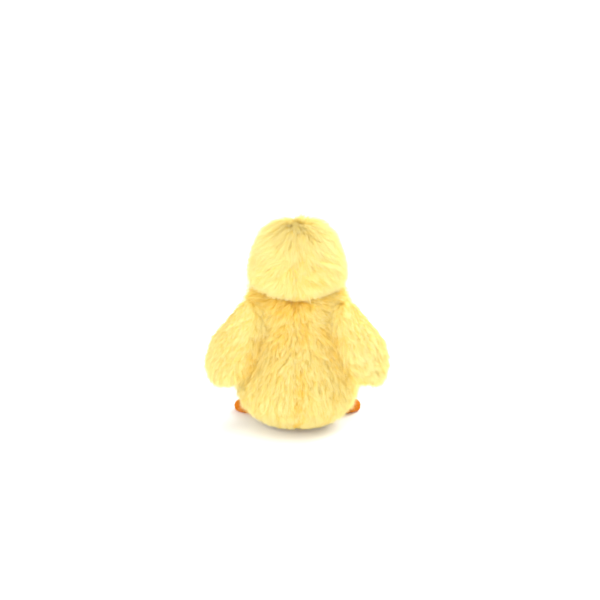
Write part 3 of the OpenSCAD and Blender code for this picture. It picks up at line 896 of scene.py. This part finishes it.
def tube(path, across, up, section):
    """Points and triangles of a section, given as (across, up) pairs, swept along a path and closed."""
    n, k = len(path), len(section)
    sec = np.array(section)
    co = (path[:, None] + across[:, None] * sec[None, :, :1] + up[:, None] * sec[None, :, 1:]).reshape(-1, 3)
    tris = []
    for i in range(n - 1):
        for j in range(k):
            a, b = i * k + j, i * k + (j + 1) % k
            tris += [(a, b, b + k), (a, b + k, a + k)]
    first, last = len(co), len(co) + 1
    for j in range(k):
        tris += [(first, (j + 1) % k, j), (last, (n - 1) * k + j, (n - 1) * k + (j + 1) % k)]
    return np.vstack([co, path[0], path[-1]]), tris


def sweep(name, path, across, up, section, mats):
    """A swept piece whose UVs run along it and across it, in millimetres."""
    n, k = len(path), len(section)
    co, tris = tube(path, across, up, section)
    obj = add_mesh(name, co, tris, mats)
    uv = obj.data.uv_layers.new(name="along")
    length = np.concatenate([[0], np.cumsum(np.linalg.norm(np.diff(path, axis=0), axis=1))])
    u = np.append(np.repeat(length, k), (length[0], length[-1]))
    v = np.append(np.tile(np.array(section)[:, 0], n), (0, 0))
    corners = np.asarray(tris).ravel()
    uv.data.foreach_set("uv", np.stack([u[corners], v[corners]], 1).astype(np.float32).ravel())
    return obj


def stitches(name, places, along, over, length=0.66, thick=0.09):
    """Short bowed stitches across the ribbon, as one piece. Each place is a middle and its outward side."""
    section = [(thick * math.cos(q), thick * math.sin(q)) for q in np.linspace(0, 2 * math.pi, 7)[:-1]]
    run = np.linspace(-length / 2, length / 2, 7)[:, None]
    bow = thick * (1 - (run * 2 / length) ** 2)
    co, tris = [], []
    for mid, side in places:
        path = mid + run * np.array((1.0, 0, 0)) + over * side * bow
        points, faces = tube(path, np.tile(along, (7, 1)), np.tile(over, (7, 1)), section)
        tris.append(np.array(faces) + len(points) * len(co))
        co.append(points)
    return add_mesh(name, np.vstack(co), np.vstack(tris), [thread])


def ribbon_loop():
    """Two layers from the crown seam, which part round the ring, with two rows of stitches."""
    width, thick = 5.9, 0.72
    bend, between, step = 2.75, 0.43, 0.3     # the loop's radius, half the layers' spacing, a path step
    along = unit(loop_root - loop_end)
    over = np.array((0, along[2] * -1, along[1]))
    over = over if over[2] > 0 else -over
    reach = np.linalg.norm(loop_root - loop_end)
    flat = [(reach + 0.9 - step * i, between) for i in range(6)]
    turn = [(bend * math.cos(a), bend * math.sin(a))
            for a in np.linspace(math.radians(62), math.radians(298), 40)]
    (x0, y0), (x1, y1) = flat[-1], turn[0]
    ease = [(x0 + (x1 - x0) * w, y0 + (y1 - y0) * (3 * w * w - 2 * w ** 3))
            for w in np.linspace(0.12, 0.88, 8)]
    half = flat + ease
    route = half + turn + [(a, -b) for a, b in reversed(half)]
    path = np.array([loop_end + along * a + over * b for a, b in route])
    across = np.tile((1.0, 0, 0), (len(path), 1))
    up = np.cross(unit(np.gradient(path, axis=0)), across)
    w, t = width / 2, thick / 2
    edge = [(x, -t) for x in (-w + 0.12, -w / 2, 0, w / 2, w - 0.12)] + [(w, -0.4 * t), (w, 0.4 * t)]
    section = edge + [(-a, -b) for a, b in edge]
    place(sweep("ribbon_loop", path, across, up, section, [ribbon]), "strap", "ribbon", ["strap_loop"])
    places = [(loop_end + along * a + over * side * 0.83 + np.array((x, 0, 0)), side)
              for a in (reach - 0.9, reach - 2.1) for x in np.arange(-2.25, 2.3, 0.9) for side in (1, -1)]
    place(stitches("ribbon_stitches", places, along, over), "strap", "ribbon")


def wire_ring():
    """Two turns of flat wire that step across to each other, as one spiral."""
    lean = math.radians(21)                   # it lies back on the forehead
    radius, half_wide, half_thick, apart_by = 9.1, 0.9, 0.52, 1.13
    crossing, opening, start = math.radians(44), 0.03, math.radians(-60)
    out = np.array((0, -math.cos(lean), math.sin(lean)))
    up = np.array((0, math.sin(lean), math.cos(lean)))
    mid = loop_end - up * radius
    w = np.linspace(crossing / 2 + opening, 4 * math.pi - crossing / 2 - opening, 300)
    step = np.clip((w - (2 * math.pi - crossing / 2)) / crossing, 0, 1)
    shift = apart_by / 2 * (2 * (3 * step ** 2 - 2 * step ** 3) - 1)
    radial = np.cos(w + start)[:, None] * np.array((1.0, 0, 0)) + np.sin(w + start)[:, None] * up
    path = mid + radial * radius + out * shift[:, None]
    section = []
    for q in np.linspace(0, 2 * math.pi, 17)[:-1]:
        c, s = math.cos(q), math.sin(q)
        section.append((half_wide * math.copysign(abs(c) ** 0.55, c),
                        half_thick * math.copysign(abs(s) ** 0.55, s)))
    obj = sweep("split_ring_wire", path, radial, np.tile(out, (len(w), 1)), section, [steel])
    place(obj, "ring", "ring_steel", ["split_ring"])


ribbon_loop()
wire_ring()


# ---------------------------------------------------------------- plain finishes for the CAD nodes

def plain_finish(name):
    for word, m in (("washer", white), ("_eye", black), ("ring", steel), ("strap", ribbon),
                    ("stuffing", fibre), ("beak", felt), ("foot", felt)):
        if word in name:
            return m
    return pile


for name, obj in frame["nodes"].items():
    obj.data.materials.clear()
    obj.data.materials.append(plain_finish(name))
